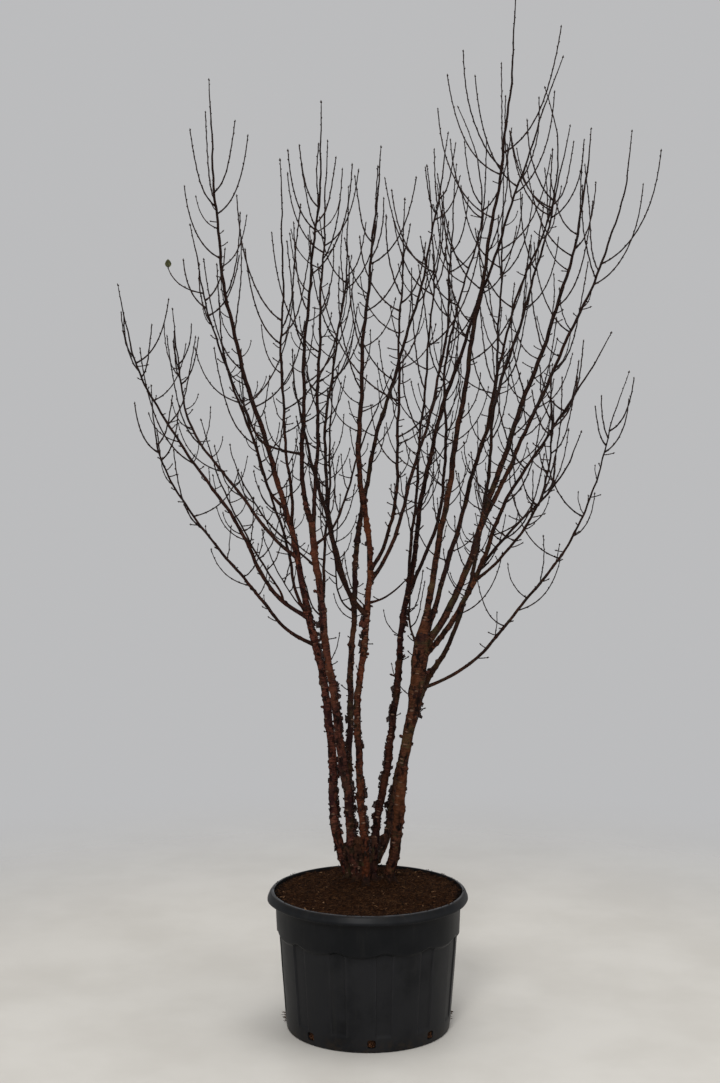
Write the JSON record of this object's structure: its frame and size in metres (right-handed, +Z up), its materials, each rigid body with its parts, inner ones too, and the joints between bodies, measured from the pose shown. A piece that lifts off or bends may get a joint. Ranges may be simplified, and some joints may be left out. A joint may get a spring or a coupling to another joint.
{
  "type": "potted tibetan cherry",
  "caption": "Leafless many-stemmed ornamental cherry with steep leaders and upcurved side shoots, in a round ribbed growing pot filled with soil.",
  "frame": {"origin": "middle of the pot's flat underside", "axes": "+Z up along the pot's axis, +X to the right and +Y away as seen from the front"},
  "size_m": [2.3073, 1.6479, 4.3553],
  "materials": {
    "pot": "moulded black plastic, softly shiny on the lip",
    "soil": "dark brown fibrous substrate, matt",
    "bark": "red-brown bark with pale cross marks, partly peeling",
    "twig": "dark brown smooth twigs with small buds"
  },
  "bodies": {
    "root": {"bough_a1": "bark", "bough_a3": "bark", "bough_a4": "bark", "bough_a5": "bark", "bough_a6": "bark", "bough_b1": "bark", "bough_b2": "bark", "bough_c1": "bark", "bough_c2": "bark", "bough_d1": "bark", "bough_d2": "bark", "bough_d3": "bark", "bough_e1": "bark", "bough_e2": "bark", "bough_e3": "bark", "bough_f1": "bark", "bough_f2": "bark", "bough_f3": "bark", "bough_f4": "bark", "bough_f5": "bark", "bough_f6": "bark", "bough_f8": "bark", "bough_f9": "bark", "bough_g1": "bark", "pot": "pot", "soil": "soil", "stem_a": "bark", "stem_b": "bark", "stem_c": "bark", "stem_d": "bark", "stem_e": "bark", "stem_f": "bark", "stem_g": "bark", "twigs_a1": "twig", "twigs_a2": "twig", "twigs_a3": "twig", "twigs_a4": "twig", "twigs_a5": "twig", "twigs_a6": "twig", "twigs_b1": "twig", "twigs_b2": "twig", "twigs_c1": "twig", "twigs_c2": "twig", "twigs_d1": "twig", "twigs_d2": "twig", "twigs_d3": "twig", "twigs_e1": "twig", "twigs_e2": "twig", "twigs_e3": "twig", "twigs_f1": "twig", "twigs_f2": "twig", "twigs_f3": "twig", "twigs_f4": "twig", "twigs_f5": "twig", "twigs_f6": "twig", "twigs_f7": "twig", "twigs_f8": "twig", "twigs_f9": "twig", "twigs_g1": "twig"}
  },
  "joints": []
}
